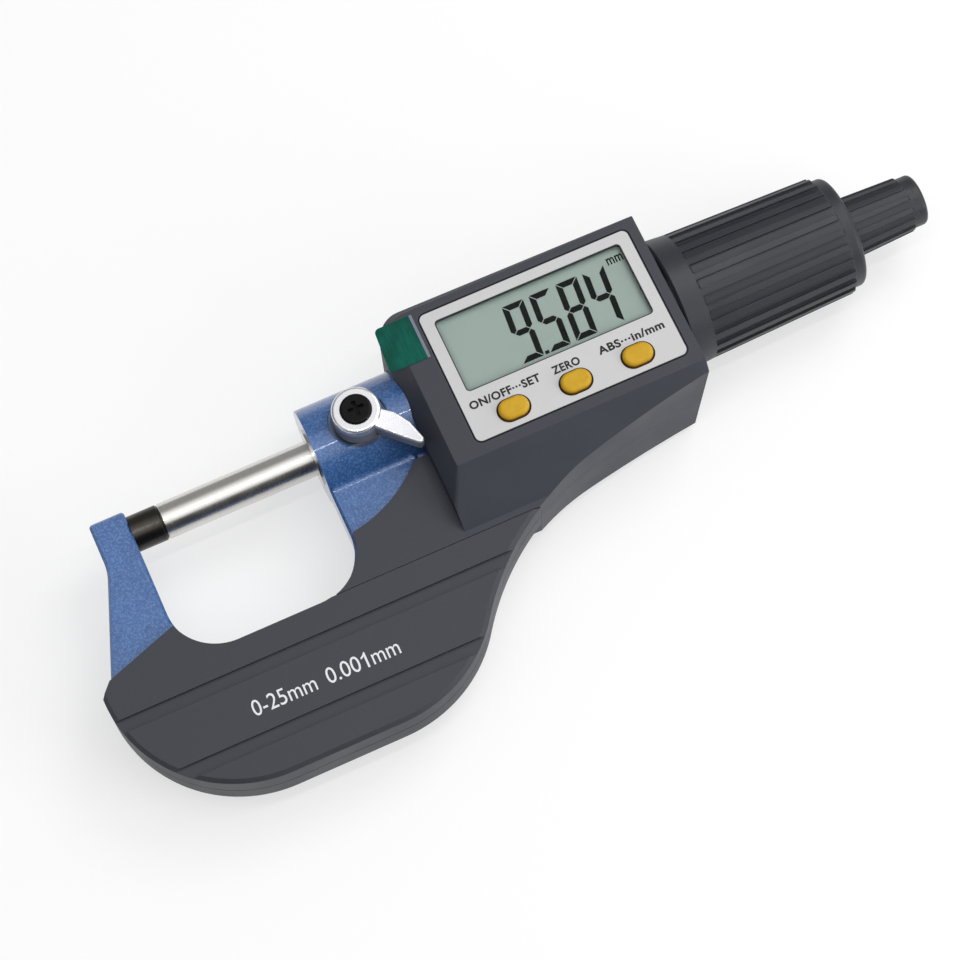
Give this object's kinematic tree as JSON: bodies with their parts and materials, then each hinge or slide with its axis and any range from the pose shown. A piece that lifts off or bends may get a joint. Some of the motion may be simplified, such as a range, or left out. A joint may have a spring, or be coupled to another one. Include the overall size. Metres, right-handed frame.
{
  "type": "digital outside micrometer",
  "caption": "Digital outside micrometer lying on its back: a deep C frame with an anvil, a screw-driven spindle, a ribbed thimble with a ratchet, and a display housing",
  "frame": {"origin": "on the housing's flat back face, straight below the spindle axis, 72 mm from the closed measuring faces", "axes": "+X along the spindle from the anvil to the ratchet, +Y towards the display's upper edge, +Z out of the display"},
  "size_m": [0.1663, 0.0655, 0.0258],
  "materials": {
    "frame_paint": "blue hammertone paint",
    "anvil_steel": "dark oxidised steel",
    "carbide": "lapped carbide",
    "cover_plastic": "fine matt",
    "housing_plastic": "fine matt",
    "black_screw": "blackened",
    "panel_grey": "satin overlay",
    "clear_pane": "clear",
    "lcd": "grey-green liquid crystal",
    "contact_rubber": "matt",
    "clear_film": "clear",
    "tab_green": "brushed print",
    "board": "solder mask",
    "contact_metal": "plated",
    "button_yellow": "satin",
    "ground_steel": "ground",
    "satin_steel": "satin chrome",
    "brass": "turned",
    "lever_metal": "satin plated",
    "thimble_plastic": "fine matt",
    "cell_steel": "nickel plated"
  },
  "bodies": {
    "instrument": {"frame": "frame_paint", "anvil": "anvil_steel", "anvil_tip": "carbide", "front_frame_cover": "cover_plastic", "rear_frame_cover": "cover_plastic", "front_housing": "housing_plastic", "rear_housing": "housing_plastic", "housing_screws": "black_screw", "display_panel": "panel_grey", "display_pane": "clear_pane", "display": "lcd", "display_strips": "contact_rubber", "display_film": "clear_film", "film_tab": "tab_green", "circuit_board": "board", "button_switches": "contact_metal", "spindle_bush": "ground_steel", "lock_pad": "brass", "encoder_stator": "board", "stem": "satin_steel", "spindle_nut": "ground_steel", "adjusting_nut": "ground_steel", "battery": "cell_steel", "battery_contacts": "contact_metal"},
    "rotor": {"encoder_rotor": "board", "drive_key": "ground_steel"},
    "measuring_rod": {"spindle": "ground_steel", "spindle_tip": "carbide", "thimble": "thimble_plastic", "thimble_core": "satin_steel", "ratchet_base": "satin_steel", "ratchet_screw": "ground_steel"},
    "ratchet": {"ratchet_knob": "thimble_plastic", "ratchet_ring": "satin_steel", "ratchet_spring": "ground_steel"},
    "lock": {"lock_lever": "lever_metal", "lock_stud": "ground_steel", "lock_screw": "black_screw"},
    "on_off_key": {"button_on_off": "button_yellow"},
    "zero_key": {"button_zero": "button_yellow"},
    "unit_key": {"button_unit": "button_yellow"},
    "cap": {"battery_cap": "housing_plastic"}
  },
  "joints": [
    {"name": "thimble_turn", "type": "hinge", "parent": "instrument", "child": "rotor", "pos_m": [-0.015, 0, 0.0123], "axis": [1, 0, 0], "range_deg": [0, 18000]},
    {"name": "spindle_feed", "type": "slide", "parent": "rotor", "child": "measuring_rod", "axis": [1, 0, 0], "range_m": [0, 0.025]},
    {"name": "ratchet_turn", "type": "hinge", "parent": "measuring_rod", "child": "ratchet", "pos_m": [0.066, 0, 0.0123], "axis": [1, 0, 0], "continuous": true},
    {"name": "lock_turn", "type": "hinge", "parent": "instrument", "child": "lock", "pos_m": [-0.0346, 0, 0.0223], "axis": [0, 0, -1], "range_deg": [0, 75]},
    {"name": "on_off_press", "type": "slide", "parent": "instrument", "child": "on_off_key", "axis": [0, 0, -1], "range_m": [0, 0.0004], "stiffness_N_per_m": 4000},
    {"name": "zero_press", "type": "slide", "parent": "instrument", "child": "zero_key", "axis": [0, 0, -1], "range_m": [0, 0.0004], "stiffness_N_per_m": 4000},
    {"name": "unit_press", "type": "slide", "parent": "instrument", "child": "unit_key", "axis": [0, 0, -1], "range_m": [0, 0.0004], "stiffness_N_per_m": 4000},
    {"name": "cap_turn", "type": "hinge", "parent": "instrument", "child": "cap", "pos_m": [-0.001, -0.0012, 0.00085], "axis": [0, 0, -1], "range_deg": [0, 60]}
  ],
  "couplings": [
    {"joint": "thimble_turn", "follows": "spindle_feed", "rad_per_m": 12566}
  ]
}
